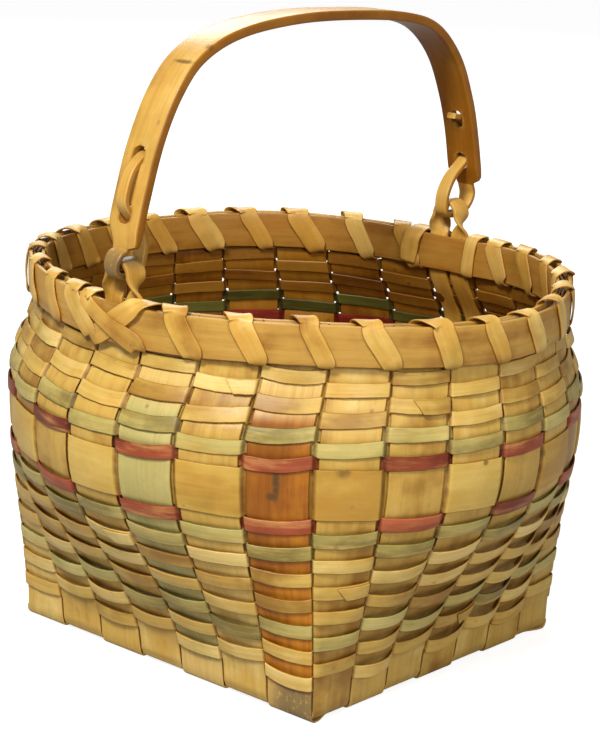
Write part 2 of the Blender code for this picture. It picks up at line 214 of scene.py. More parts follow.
def surface(pitch, height, lift):
    """Points at lift outside the walls' middle surface. All three are arrays of one shape."""
    pitch, height, lift = np.broadcast_arrays(pitch, height, lift)
    step_u, step_z = SMALL_PITCH, 0.6 * MM
    x, y = wall_xy(pitch, height)
    x1, y1 = wall_xy(pitch - step_u, height)
    x2, y2 = wall_xy(pitch + step_u, height)
    x3, y3 = wall_xy(pitch, np.maximum(height - step_z, 0))
    x4, y4 = wall_xy(pitch, height + step_z)
    rise = height + step_z - np.maximum(height - step_z, 0)
    round_dir = np.stack([x2 - x1, y2 - y1, np.zeros_like(x)], -1)
    up_dir = np.stack([x4 - x3, y4 - y3, rise], -1)
    normal = unit(np.cross(round_dir, up_dir))
    point = np.stack([x, y, np.asarray(height, float)], -1) + normal * lift[..., None]
    return hand_made(point)


def pitch_length(pitch, height):
    """Metres round the wall for one stake pitch."""
    x1, y1 = wall_xy(pitch - SMALL_PITCH, height)
    x2, y2 = wall_xy(pitch + SMALL_PITCH, height)
    return np.hypot(x2 - x1, y2 - y1) / (2 * SMALL_PITCH)


# -------- strips

def strip_profile(edge, crown):
    """A strip's cross-section: (across from -1 to 1, out from -1 to 1, crown share), once round."""
    return (
        (-1.0, -0.35, 0), (-1.0, 0.35, 0), (-1.0 + edge, 1.0, 0), (-0.5, 1.0, 0.75 * crown),
        (0.0, 1.0, crown), (0.5, 1.0, 0.75 * crown), (1.0 - edge, 1.0, 0), (1.0, 0.35, 0),
        (1.0, -0.35, 0), (1.0 - edge, -1.0, 0), (0.0, -1.0, 0.3 * crown), (-1.0 + edge, -1.0, 0),
    )


def columns_of(profile):
    """A cross-section's numbers, each kind as one array."""
    return [np.array(numbers) for numbers in zip(*profile)]


def unit(vectors):
    return vectors / np.linalg.norm(vectors, axis=-1, keepdims=True)


def swept(centre, side, out_dir, across, out):
    """A section moved along a line. across and out say how far each of its columns is from the line."""
    return centre[:, None] + side[:, None] * across[..., None] + out_dir[:, None] * out[..., None]


def run_lengths(line):
    """How far along a line each of its points is."""
    steps = np.linalg.norm(np.diff(line, axis=0), axis=1)
    return np.concatenate([[0], np.cumsum(steps)])


def mesh_from_grid(name, points, lengths, across, loop, tone, grime_and_shade, shade, sharp=SHARP_COLUMNS):
    """A closed strip from a grid of points: rows along it, columns round its section.
    shade is how dark each column is painted, from 0 to 1: age and painted shade on the inner side, age and
    painted shadow lines on cut edges."""
    rows, columns = points.shape[:2]
    count = rows if loop else rows - 1
    i = np.arange(count)[:, None]
    j = np.arange(columns)
    i2 = (i + 1) % rows
    j2 = (j + 1) % columns
    faces = np.stack([
        i * columns + j, i2 * columns + j, i2 * columns + j2, i * columns + j2,
    ], -1).reshape(-1, 4)
    polygons = faces.tolist()
    if not loop:
        polygons.append(list(range(columns)))
        polygons.append(list(range((rows - 1) * columns, rows * columns))[::-1])
    mesh = bpy.data.meshes.new(name)
    mesh.from_pydata(points.reshape(-1, 3).tolist(), [], polygons)
    uv = mesh.uv_layers.new(name="grain")
    along = np.concatenate([lengths, lengths[-1:] + (lengths[-1] - lengths[-2])])
    wide = np.concatenate([across, across[:1]])
    cells_i = np.repeat(np.arange(count), columns)
    cells_j = np.tile(np.arange(columns), count)
    corners = np.stack([
        along[cells_i], wide[cells_j], along[cells_i + 1], wide[cells_j],
        along[cells_i + 1], wide[cells_j + 1], along[cells_i], wide[cells_j + 1],
    ], -1).reshape(-1)
    if not loop:
        ends = []
        for place in (along[0], along[rows - 1]):
            ends += [value for width in across for value in (place, width)]
        corners = np.concatenate([corners, ends])
    uv.data.foreach_set("uv", corners.astype(np.float32))
    add_numbers(mesh, "tone", np.repeat(tone, columns))
    add_numbers(mesh, "grime_and_shade", np.repeat(grime_and_shade, columns))
    add_numbers(mesh, "aged_and_shaded", np.broadcast_to(shade, (rows, columns)).reshape(-1))
    mark_sharp(mesh, columns, sharp)
    bm = bmesh.new()
    bm.from_mesh(mesh)
    bmesh.ops.recalc_face_normals(bm, faces=bm.faces)
    bm.to_mesh(mesh)
    bm.free()
    mesh.polygons.foreach_set("use_smooth", [True] * len(mesh.polygons))
    mesh.update()
    return mesh


def add_numbers(mesh, name, values):
    layer = mesh.attributes.new(name, "FLOAT", "POINT")
    layer.data.foreach_set("value", np.asarray(values, np.float32))


def mark_sharp(mesh, columns, sharp):
    edges = np.empty(len(mesh.edges) * 2, np.int32)
    mesh.edges.foreach_get("vertices", edges)
    first, second = edges[0::2] % columns, edges[1::2] % columns
    flags = (first == second) & np.isin(first, sharp)
    layer = mesh.attributes.new("sharp_edge", "BOOLEAN", "EDGE")
    layer.data.foreach_set("value", flags)


def row_of(name):
    """Low and high edge of a row of weaving in the CAD frame."""
    low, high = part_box(name)
    return low.z, high.z


def add_object(name, data):
    obj = bpy.data.objects.new(name, data)
    bpy.context.scene.collection.objects.link(obj)
    return obj


def add_piece(name, mesh, material, slot, *nodes, body=BODY):
    obj = add_object(name, mesh)
    obj.data.materials.append(material)
    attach(obj, body)
    if nodes:
        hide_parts(*nodes)


# -------- weave

def stake_width(side, height):
    """A stake is widest at the belly."""
    belly = rising(height, 15, 75)
    rim = rising(height, 140, 50)
    width = STAKE_BASE[side] + (STAKE_BELLY[side] - STAKE_BASE[side]) * belly
    return width + (STAKE_RIM[side] - STAKE_BELLY[side]) * rim


def stake_half(pitch, height):
    """A stake's half width, in pitches."""
    side = np.floor_divide(pitch, STAKES_PER_SIDE).astype(int) % 2
    width = np.where(side == 0, stake_width(0, height), stake_width(1, height))
    return width / 2 / pitch_length(np.floor(pitch) + 0.5, height)


def lean(pitch, height):
    """0 at the corners and the rim, 1 low in the middle of a side, where the wall leans out."""
    middle = 1 - np.abs(np.mod(pitch, STAKES_PER_SIDE) / STAKES_PER_SIDE * 2 - 1)
    return smoothstep(middle * 1.6) * (1 - rising(height, 40, 95))


def row_is_over(number, stake):
    return (stake % 2 == 0) == (number % 2 == 1)


def weave_path(number, pitch, height):
    """(lift, rise, over, dive) of a row at each place round the wall.
    over is true where the row is outside the stake, and dive is 1 halfway between two stakes."""
    stake = np.floor(pitch)
    over = row_is_over(number, stake)
    half = stake_half(pitch, height) + 0.5 * MM / pitch_length(stake + 0.5, height)
    place = pitch - stake - 0.5
    gap_from = np.minimum(half, 0.476)
    dive = smoothstep((np.abs(place) - gap_from) / (0.5 - gap_from))
    segment = stake + 40 * number
    full = np.clip(place / gap_from, -1, 1)
    hump = (1 - full ** 2) ** 0.8
    loose_side = stake >= LOOSE_FROM
    looseness = np.where(loose_side, 1.0, 0.4) * lean(pitch, height)
    bow_out = (0.5 + 0.4 * scatter(segment, 3) + (2.7 + 1.0 * scatter(segment, 4)) * looseness) * MM
    if number == WIDE_ROW:
        bow_out = (0.35 + 0.2 * scatter(segment, 3)) * MM
    if number == LOOSE_ROW:
        bow_out = np.where(stake == LOOSE_STAKE, 3.2 * MM, bow_out)
    bow = np.where(over, np.maximum(bow_out, 0.1 * MM), -0.35 * MM)
    sign = np.where(over, 1.0, -1.0)
    lift = sign * WEAVE_LIFT * (1 - dive) + bow * hump
    drop = 0.55 + 0.45 * scatter(segment, 5) + np.where(stake == SAGGING_STAKE, 0.8, 0.0)
    if number == WIDE_ROW:
        drop = 0.15 * drop
    sag = np.where(over, -drop, 0.25 * drop) * MM * (1 - full ** 2)
    tilt = scatter(segment, 6) * 0.6 * MM * full * (1 - dive)
    tilt = tilt + np.where(loose_side, 1.5, 0.0) * MM * looseness * full * (1 - dive)
    return lift, sag + tilt, over, dive


def inner_side(out):
    """1 for the columns of a section that face into the basket."""
    return smoothstep(0.5 - out)


def aged_and_shaded_columns(across, out):
    """Age and painted shade on a strip's columns: full on the inner side, which is partly painted shade, and
    strong on both cut edges, which is partly painted shadow lines.
    """
    return np.maximum(inner_side(out), EDGE_AGE_AND_SHADE * (np.abs(across) > 0.99))


def ring_of_pitches():
    """Where a whole row is sampled: closer together in the gaps between stakes."""
    ends = np.array(SEGMENT_SAMPLES)
    within = np.concatenate([ends, 1 - ends[-2::-1]])[:-1]
    return (np.arange(PITCHES)[:, None] + within[None, :]).reshape(-1)


def weaver_width(number, pitch, over, dive, plain):
    """A row's width at each place: uneven, wider over a stake, and shut against the next row in a gap."""
    width = plain + (0.45 + 0.45 * wave(pitch, number + 60, PITCHES)) * MM
    width = width + np.where(over, 0.35 * MM * (1 - dive), 0)
    gap = np.floor(pitch + 0.5) % PITCHES
    return width + dive * (0.8 + 0.6 * scatter(gap + 40 * number, 9)) * MM


def weaver_mesh(name, number, node, span=None):
    """A row all the way round or, with a span of pitches, the end that laps over its start."""
    low, high = row_of(node)
    pitch = (np.arange(span[0], span[1], LAP_STEP) if span else ring_of_pitches())[:, None]
    middle = (low + high) / 2
    lift, rise, over, dive = weave_path(number, pitch, np.full_like(pitch, middle))
    if span:
        lift = lift + 1.0 * MM
        rise = rise - 0.5 * MM
    width = weaver_width(number, pitch, over, dive, high - low)
    across, out, crown = columns_of(strip_profile(0.1 if number != WIDE_ROW else 0.03, 0.5))
    wander = 0.4 * MM * wave(pitch, number + 90, PITCHES)
    edge = 0.2 * MM * wave(pitch * 7, number + 7, 7 * PITCHES)
    heights = middle + rise + wander + across * (width / 2)
    heights = heights + edge * np.sign(across) * (np.abs(across) > 0.6)
    lifts = lift + out * WEAVER_THICK / 2 + np.where(over, 1, -1) * (crown * 0.3 * MM)
    lifts = lifts + 0.1 * MM * wave(pitch * 5, number + 31, 5 * PITCHES)
    pitches = pitch
    if span:
        pitches = pitch + 0.09 * (1 - across) * smoothstep((span[0] + 0.3 - pitch) / 0.3)
    points = surface(pitches, heights, lifts)
    lengths = run_lengths(points.mean(1)) + 2.37 * number + (1.7 if span else 0)
    tone = 0.52 + 0.34 * scatter(np.floor(pitch) // 2 + 30 * number, 11)
    tone = tone + 0.3 * wave(pitch * 0.5, number + 3, PITCHES // 2) + 0.2 * scatter(number, 17)
    # Darker where the row dives between stakes and where it passes under one, and on the top row under the
    # rim hoop: painted shade in these gaps and under the hoop, with some dirt.
    grime_and_shade = np.clip(dive + np.where(over, 0.0, 0.25) + (0.25 if number == 1 else 0), 0, 1)
    half = (high - low) / 2
    return mesh_from_grid(
        name, points, lengths, across * half, not span, tone, grime_and_shade, aged_and_shaded_columns(across, out),
    )


def add_weaving(woods):
    for number in range(1, ROWS + 1):
        node = f"weaver_{number:02d}"
        kind = "green" if number in GREEN_ROWS else "red" if number in RED_ROWS else "tan"
        wood_kind = "wide" if number == WIDE_ROW else kind
        name = f"woven_row_{number:02d}"
        mesh = weaver_mesh(name, number, node)
        add_piece(name, mesh, woods[wood_kind], SLOT_OF[kind], node)
    for number, start, end in LAPS:
        name = f"lapped_end_{number:02d}"
        mesh = weaver_mesh(name, number, f"weaver_{number:02d}", (start, end))
        add_piece(name, mesh, woods["tan"], SLOT_OF["tan"])
    mesh = weaver_mesh("rim_packing", 0, "rim_weaver")
    add_piece("rim_packing", mesh, woods["tan"], SLOT_OF["tan"], "rim_weaver")


# -------- stakes

def row_push(stake, height):
    """How far the rows push a stake in or out of the middle surface at a height."""
    push = np.zeros_like(height)
    for number in range(1, ROWS + 1):
        low, high = row_of(f"weaver_{number:02d}")
        inside = inside_of(height, low, high, 0.5 * MM, 1.5 * MM)
        push += np.where(row_is_over(number, stake), -1, 1) * inside * ROW_PUSH
    return push


def stake_wall(stake, across, out, crown, top):
    """Points of a stake's strip up its wall, from the fold."""
    height = np.concatenate([np.linspace(5.0 * MM, 16 * MM, 6), np.arange(17.2 * MM, top, 1.5 * MM)])
    height = height[:, None]
    middle = stake + 0.5
    wide = stake_width(stake // STAKES_PER_SIDE % 2, height)
    half = wide / 2 / pitch_length(np.full_like(height, middle), height)
    edge = 0.012 * wave(height / (12 * MM), stake + 50)
    pitches = middle + across * (half + 0.35 * edge) + 0.3 * edge
    return surface(pitches, height, row_push(stake, height) + out * STAKE_THICK / 2 + crown)


def base_level(along, crossings, crossing_width, first_up):
    level = np.zeros_like(along)
    for number, crossing in enumerate(crossings):
        sign = 1 if (number % 2 == 0) == first_up else -1
        reach = crossing_width / 2 + 1.0 * MM
        level += sign * inside_of(along, crossing, crossing, reach, 2.2 * MM) * BASE_LIFT
    return level


def base_part(travel, side, place, wide, crossings, crossing_width, wall, first_up, across, out):
    """The flat part of a stake through the base, with both folds."""
    reach = wall - FOLD_RADIUS - 0.3 * MM
    along = np.linspace(-reach, reach, 130)
    level = BASE_MIDDLE + base_level(along, crossings, crossing_width, first_up)
    fold = np.linspace(0.12, 0.93, 6) * math.pi / 2
    fold_along = reach + FOLD_RADIUS * np.sin(fold)
    fold_rise = FOLD_RADIUS * (1 - np.cos(fold)) * 1.1
    line = np.concatenate([-fold_along[::-1], along, fold_along])
    rise = np.concatenate([level[0] + fold_rise[::-1], level, level[-1] + fold_rise])
    turn = np.concatenate([-fold[::-1], np.zeros_like(along), fold])
    thick = out * STAKE_THICK / 2
    line = line[:, None] + np.sin(turn)[:, None] * thick
    rise = rise[:, None] - np.cos(turn)[:, None] * thick
    inset = 0.0
    if abs(place) > OUTERMOST:
        inset = EDGE_INSET * smoothstep((reach - np.abs(line[:, :1])) / (14 * MM))
    sideways = place - math.copysign(1, place) * inset / 2 + across * (wide - inset) / 2 + 0 * line
    return travel * line[..., None] + side * sideways[..., None] + np.array([0, 0, 1.0]) * rise[..., None]


def places(half_side):
    pitch = 2 * half_side / STAKES_PER_SIDE
    return [(index - (STAKES_PER_SIDE - 1) / 2) * pitch for index in range(STAKES_PER_SIDE)]


def stake_mesh(name, seed, first, base, last, across, out, stakes):
    """Joins both walls and the base of a stake into one strip, and sets its grain.
    stakes are the numbers of the two walls' stakes."""
    points = np.concatenate([first[::-1], base, last])
    lengths = run_lengths(points[:, MIDDLE_COLUMN]) + 1.91 * seed + 60
    tone = 0.5 + 0.35 * wave(lengths * 9, seed + 400) + 0.2 * scatter(seed, 23)
    height = points[:, MIDDLE_COLUMN, 2]
    place = np.repeat([stakes[0] + 0.5, 0.5, stakes[1] + 0.5], [len(first), len(base), len(last)])
    # Darker towards the base.
    grime_and_shade = 0.2 * (1 - smoothstep(height / (9 * MM)))
    # Painted shadow just under the rim hoop.
    grime_and_shade = grime_and_shade + 0.8 * rising(height - HOOP_LOW, -2.5, 1.5) * (height < RIM_TOP)
    # Painted shade in the dark openings under the bowed-out rows, stronger on the loose side.
    shaded = np.where(place > LOOSE_FROM, 0.75, 0.25)
    grime_and_shade = grime_and_shade + shaded * lean(place, height) * rising(height, 18, 6)
    # Age and painted shade on the inner side and cut edges, left off the base.
    shade = aged_and_shaded_columns(across, out) * rising(height, 4, 8)[:, None]
    return mesh_from_grid(name, points, lengths, across * STAKE_GRAIN, False, tone, grime_and_shade, shade)


def add_stakes(woods):
    across, out, crown = columns_of(strip_profile(0.03, 0.5))
    crown = crown * 0.25 * MM
    top = RIM_TOP - 0.6 * MM
    places_x, places_y = places(BASE_X), places(BASE_Y)
    x_axis, y_axis = np.array([1.0, 0, 0]), np.array([0, 1.0, 0])
    for index in range(STAKES_PER_SIDE):
        up = index % 2 == 0
        dye = {0: "orange", 2: "green"}.get(index, "tan")
        # Letter, seed, dye, which way it runs, its place, what it crosses, half length of the base,
        # whether it goes up first, and the stakes that it makes in the two walls.
        runs = (
            ("x", 1, dye, (x_axis, y_axis), places_y[index], places_x, BASE_X, not up, (20 - index, index)),
            ("y", 11, "tan", (y_axis, -x_axis), -places_x[index], places_y, BASE_Y, up,
             (21 + index, 13 - index)),
        )
        for way, (letter, seed, kind, axes, place, crossings, wall, first_up, stakes) in enumerate(runs):
            base = base_part(
                *axes, place, STAKE_BASE[way], crossings, STAKE_BASE[1 - way], wall, first_up, across, out,
            )
            rise = stake_wall(stakes[1], across, out, crown, top)
            fall = stake_wall(stakes[0], -across, out, crown, top)
            name = f"upright_{letter}_{index + 1}"
            mesh = stake_mesh(name, index + seed, fall, base, rise, across, out, stakes)
            node = f"stake_{letter}_{index + 1}"
            add_piece(name, mesh, woods["stake_" + kind], SLOT_OF[kind], node)


# -------- rim

LASH_THICK = 0.8 * MM
LASH_WIDE = 11.0 * MM
LASH_WIDE_AT_EAR = 9.0 * MM
LASH_WIDE_BELOW = 6.0 * MM
HOOP_THICK = 2.0 * MM
HOOP_OFFSET = 3.2 * MM
HOOP_AT_EAR = 5.9 * MM


def ear_bulge(pitch):
    """1 in front of an ear's stake, falling to 0 at its neighbours."""
    found = np.zeros_like(pitch)
    for ear in EAR_PITCHES:
        apart = np.abs(np.mod(pitch - ear - 0.5 + PITCHES / 2, PITCHES) - PITCHES / 2)
        found = np.maximum(found, 1 - smoothstep((apart - 0.5) / 0.75))
    return found


def hoop_lift(pitch, outside):
    pitch = np.asarray(pitch, float)
    if outside:
        return np.full_like(pitch, HOOP_OFFSET)
    return -(HOOP_OFFSET + (HOOP_AT_EAR - HOOP_OFFSET) * ear_bulge(pitch))


def thick_profile(round_share, count=4):
    """A rounded bar's cross-section: (across, out, crown share), once round."""
    corner = []
    for quarter, (side, face) in enumerate(((-1, 1), (1, 1), (1, -1), (-1, -1))):
        start = math.pi - quarter * math.pi / 2
        for step in range(count + 1):
            angle = start - step / count * math.pi / 2
            corner.append((side - side * round_share[0] + round_share[0] * math.cos(angle),
                           face - face * round_share[1] + round_share[1] * math.sin(angle)))
        if quarter in (0, 2):
            corner += [(side * (1 - round_share[0]) * f, face) for f in (0.6, 0.2, -0.2, -0.6)]
    return corner


def hoop_mesh(name, outside, seed):
    pitch = np.arange(PITCHES * 10)[:, None] / 10
    across, out = columns_of(thick_profile((0.07, 0.5), 3))
    lift = hoop_lift(pitch, outside) + 0.15 * MM * wave(pitch, seed, PITCHES)
    middle = RIM_MIDDLE + 0.25 * MM * wave(pitch, seed + 1, PITCHES)
    half = (RIM_TOP - HOOP_LOW) / 2 + 0.2 * MM * wave(pitch * 2, seed + 2, 2 * PITCHES)
    crown = 0.35 * MM * (1 - across ** 2) * (1 if outside else -1)
    points = surface(pitch, middle + across * half, lift + out * HOOP_THICK / 2 + crown)
    lengths = run_lengths(points.mean(1)) + seed * 3.3
    tone = 0.5 + 0.3 * wave(pitch * 0.5, seed, PITCHES // 2)
    # Painted shadow line along the bottom edge of both hoops; the inner hoop's inner face darker, partly age
    # and partly painted shade.
    shade = np.maximum(0 if outside else 0.6 * inner_side(out), 0.85 * (across < -0.97))
    return mesh_from_grid(name, points, lengths, across * HOOP_GRAIN, True, tone, 0 * pitch, shade, sharp=())


def catmull(values, steps):
    """A smooth curve through rows of numbers, with steps to a stretch."""
    knots = np.concatenate([[2 * values[0] - values[1]], values, [2 * values[-1] - values[-2]]])
    made = []
    t = (np.arange(steps) / steps)[:, None]
    for before, start, end, after in zip(knots, knots[1:], knots[2:], knots[3:]):
        made.append(0.5 * (
            2 * start + (end - before) * t + (2 * before - 5 * start + 4 * end - after) * t * t
            + (3 * start - before - 3 * end + after) * t ** 3
        ))
    return np.concatenate(made + [knots[-2:-1]])


def lash_keys(gap):
    """One turn of the lashing: (pitch, lift, height, the face's direction outwards and up, width)."""
    in_low, in_high, out_high, out_low = gap + 0.18, gap + 0.52, gap + 0.74, gap + 0.97
    wide = LASH_WIDE + 1.6 * MM * scatter(gap, 71)
    extra = 0.0
    if gap in EAR_PITCHES:
        in_low, in_high, out_high = gap - 0.03, gap - 0.10, gap - 0.12
        wide, extra = LASH_WIDE_AT_EAR, 1.0 * MM
    elif gap + 1 in EAR_PITCHES:
        in_low, in_high, out_high = gap + 0.15, gap + 0.40, gap + 0.48
    out_high += 0.09 * scatter(gap, 72)
    in_high += 0.06 * scatter(gap, 75)
    inner = float(hoop_lift(in_high, False)) - 1.75 * MM
    inner_low = float(hoop_lift(in_low, False)) - 1.6 * MM
    outer = HOOP_OFFSET + 1.75 * MM
    rise = (1.2 + 0.7 * scatter(gap, 73)) * MM
    crest = RIM_TOP + 0.6 * MM + rise * 0.6
    slack = 0.5 * MM * (1 + scatter(gap, 74)) + extra
    low_wide = 0.93 * wide if gap not in EAR_PITCHES else LASH_WIDE
    step = 0.1 * (out_high - in_high)
    return [
        (gap + 0.02, 0.0, HOOP_LOW - 0.7 * MM, 0, -1, 3.2 * MM),
        ((gap + in_low) / 2, inner_low * 0.75, HOOP_LOW - 0.8 * MM, -0.3, -1, LASH_WIDE_BELOW),
        (in_low, inner_low, HOOP_LOW + 1.6 * MM, -1, -0.25, wide * 0.95),
        ((in_low + in_high) / 2, inner - 0.3 * MM, RIM_MIDDLE, -1, 0, wide),
        (in_high, inner, RIM_TOP - 2.0 * MM, -1, 0.25, wide),
        (in_high + step, inner * 0.72, crest, -0.5, 1, wide),
        ((in_high + out_high) / 2, 0.2 * MM, RIM_TOP + 1.0 * MM + rise, 0, 1, wide),
        (out_high - step, outer * 0.74, crest, 0.55, 1, wide),
        (out_high, outer + 0.1 * MM, RIM_TOP - 2.4 * MM, 1, 0.2, wide),
        ((out_high + out_low) / 2, outer + 0.35 * MM + slack, RIM_MIDDLE, 1, 0, wide),
        (out_low, outer, HOOP_LOW + 2.0 * MM, 1, -0.15, low_wide),
        (gap + 1.0, outer * 0.72, HOOP_LOW - 0.6 * MM, 0.4, -1, LASH_WIDE_BELOW),
    ]


def lash_strip(name, keys, loop, seed):
    """A flat strip that follows lash keys over the rim."""
    rows = np.array(keys)
    if loop:
        rows = np.concatenate([rows, rows[:1] + np.array([[PITCHES, 0, 0, 0, 0, 0]])])
    dense = catmull(rows, 5)
    if loop:
        dense = dense[:-1]
    pitch, lift, height = dense[:, 0], dense[:, 1], dense[:, 2]
    centre = surface(pitch, height, lift)
    normal = surface(pitch, height, lift + MM) - centre
    normal[:, 2] = 0
    out_dir = unit(normal) * dense[:, 3:4] + np.array([0, 0, 1.0]) * dense[:, 4:5]
    run = unit(np.roll(centre, -1, 0) - np.roll(centre, 1, 0) if loop else np.gradient(centre, axis=0))
    out_dir = unit(out_dir - run * (out_dir * run).sum(1, keepdims=True))
    side = np.cross(out_dir, run)
    across, out, crown = columns_of(strip_profile(0.08, 0.5))
    wide = dense[:, 5] * (1 + 0.08 * wave(np.arange(len(dense)) / 9, seed))
    thick = out * LASH_THICK / 2 + crown * 0.35 * MM
    points = swept(centre, side, out_dir, across * wide[:, None] / 2, thick)
    lengths = run_lengths(centre) + seed * 2.1
    tone = 0.6 + 0.4 * wave(pitch * 1.3, seed + 5) + 0.25 * scatter(np.floor(pitch), seed + 6)
    # Painted shade: the lashing darker towards its lower end, below the hoop.
    grime_and_shade = 0.75 * smoothstep((HOOP_LOW + 4 * MM - height) / (6 * MM))
    # The lashing inside the basket is darker, partly age and partly painted shade; its cut edges get painted
    # shadow lines with age.
    shade = 0.45 * rising(-lift, 3, 2)[:, None]
    shade = np.maximum(shade, EDGE_AGE_AND_SHADE * (np.abs(across) > 0.99))
    return mesh_from_grid(name, points, lengths, across * LASH_GRAIN, loop, tone, grime_and_shade, shade)


def cross_keys(ear):
    """The strand that crosses in front of an ear, under the other one."""
    outer = HOOP_OFFSET + 1.5 * MM
    inner = float(hoop_lift(ear + 1.05, False)) - 1.9 * MM
    wide = LASH_WIDE
    return [
        (ear + 1.30, inner - 0.2 * MM, HOOP_LOW + 1.5 * MM, -1, -0.2, wide * 0.8),
        (ear + 1.26, inner - 1.0 * MM, RIM_MIDDLE, -1, 0, wide),
        (ear + 1.20, inner - 0.9 * MM, RIM_TOP - 2.0 * MM, -1, 0.3, wide),
        (ear + 1.14, inner * 0.5, RIM_TOP + 1.9 * MM, -0.3, 1, wide),
        (ear + 1.00, 0.3 * MM + outer * 0.4, RIM_TOP + 2.0 * MM, 0.3, 1, wide),
        (ear + 0.84, outer + 0.2 * MM, RIM_TOP - 1.6 * MM, 1, 0.35, wide),
        (ear + 0.50, outer + 0.1 * MM, RIM_MIDDLE + 0.5 * MM, 1, 0, wide),
        (ear + 0.16, outer + 0.1 * MM, HOOP_LOW + 2.4 * MM, 1, 0, wide * 0.9),
        (ear + 0.02, outer + 0.2 * MM, HOOP_LOW - 1.6 * MM, 1, -0.1, wide * 0.55),
    ]


def add_rim(woods):
    for side, outside, seed in (("outer", True, 5), ("inner", False, 6)):
        name = f"rim_band_{side}"
        mesh = hoop_mesh(name, outside, seed)
        add_piece(name, mesh, woods["rim"], "rim_wood", f"rim_hoop_{side}")
    keys = [key for gap in range(PITCHES) for key in lash_keys(gap)]
    mesh = lash_strip("rim_binding", keys, True, 9)
    add_piece("rim_binding", mesh, woods["lash"], "lashing_splint", "rim_lashing")
    for name, ear in zip(("rim_cross_far", "rim_cross_near"), EAR_PITCHES):
        mesh = lash_strip(name, cross_keys(ear), False, 12 + ear)
        add_piece(name, mesh, woods["lash"], "lashing_splint")


# -------- ears and handle

EAR_INSET = 3.5 * MM
EAR_LEG_Y = 7.3 * MM
EAR_WIDTH = 12.0 * MM
EAR_THICK = 2.3 * MM
ARCH_RADIUS = 7.2 * MM
EAR_LEG_END = 118.5 * MM


def bar_mesh(name, centre, side, out_dir, wide, thick, rounding, seed, tone, aged_and_shaded):
    """A rounded bar along a line, from its sections' places, directions and sizes."""
    across, out = columns_of(thick_profile(rounding))
    points = swept(centre, side, out_dir, across * wide[:, None] / 2, out * thick[:, None] / 2)
    lengths = run_lengths(centre) + seed * 2.9
    tones = tone + 0.2 * wave(lengths * 20, seed)
    # Darker inner face and edges: stain, with painted shade on the inner face.
    shade = np.maximum(aged_and_shaded[0] * inner_side(out), aged_and_shaded[1] * smoothstep((np.abs(across) - 0.9) / 0.08))
    return mesh_from_grid(
        name, points, lengths, across * wide.max() / 2, False, tones, 0 * lengths, shade, sharp=(),
    )


def ear_half(side, x_sign):
    """Centres and side directions of one leg, from its lower end to the arch."""
    centres, sides = [], []
    pitch = EAR_PITCHES[0 if x_sign > 0 else 1] + 0.5
    rim_x = RIM_X - EAR_INSET
    for height in np.linspace(EAR_LEG_END, RIM_TOP - 1 * MM, 40):
        x = abs(float(surface(pitch, height, -EAR_INSET)[0]))
        blend = float(rising(height, 172, 22))
        x = x + (rim_x - x) * blend
        splay = 0.8 * MM * float(smoothstep((170 * MM - height) / (50 * MM)))
        centres.append((x * x_sign, side * (EAR_LEG_Y + splay), height))
        sides.append((0.0, -side * x_sign, 0.0))
    for step in range(1, 13):
        share = step / 12
        turn = float(smoothstep(share * 0.85 + 0.1)) * math.pi / 2
        y = EAR_LEG_Y + (ARCH_RADIUS - EAR_LEG_Y) * share
        z = RIM_TOP - MM + (AXIS.z - RIM_TOP + MM) * share
        centres.append((rim_x * x_sign, side * y, z))
        sides.append((math.sin(turn) * x_sign, -side * x_sign * math.cos(turn), 0.0))
    return centres, sides


def ear_line(x_sign):
    """Centres, side and out directions of an ear, up one leg, over the arch and down the other."""
    centres, sides = ear_half(-1, x_sign)
    last = ear_half(1, x_sign)
    for step in range(1, 16):
        angle = math.pi * (1 - step / 16)
        x = (RIM_X - EAR_INSET) * x_sign
        centres.append((x, ARCH_RADIUS * math.cos(angle), AXIS.z + ARCH_RADIUS * math.sin(angle)))
        sides.append((x_sign, 0.0, 0.0))
    centre, side = (np.array(made + half[::-1], float) for made, half in zip((centres, sides), last))
    run = unit(np.gradient(centre, axis=0))
    side = even_sides(side)
    side = unit(side - run * (side * run).sum(1, keepdims=True))
    faces = np.cross(run, side)
    return centre, side, -faces if faces[0, 0] * x_sign < 0 else faces


def even_sides(side):
    """The same directions with no jump from one to its opposite."""
    side = side.copy()
    for index in range(1, len(side)):
        if side[index] @ side[index - 1] < 0:
            side[index] = -side[index]
    return side


def add_ears(woods):
    for name, node, x_sign, seed in (("ear_near", "ear_left", -1, 3), ("ear_far", "ear_right", 1, 4)):
        centre, side, out = ear_line(x_sign)
        wide = EAR_WIDTH * (1 + 0.04 * wave(np.arange(len(centre)) / 8, seed))
        thick = np.full(len(centre), EAR_THICK)
        mesh = bar_mesh(name, centre, side, out, wide, thick, (0.14, 0.75), seed, 0.7, (0.1, 0.25))
        add_piece(name, mesh, woods["ear"], "handle_wood", node)


# -------- the swinging handle

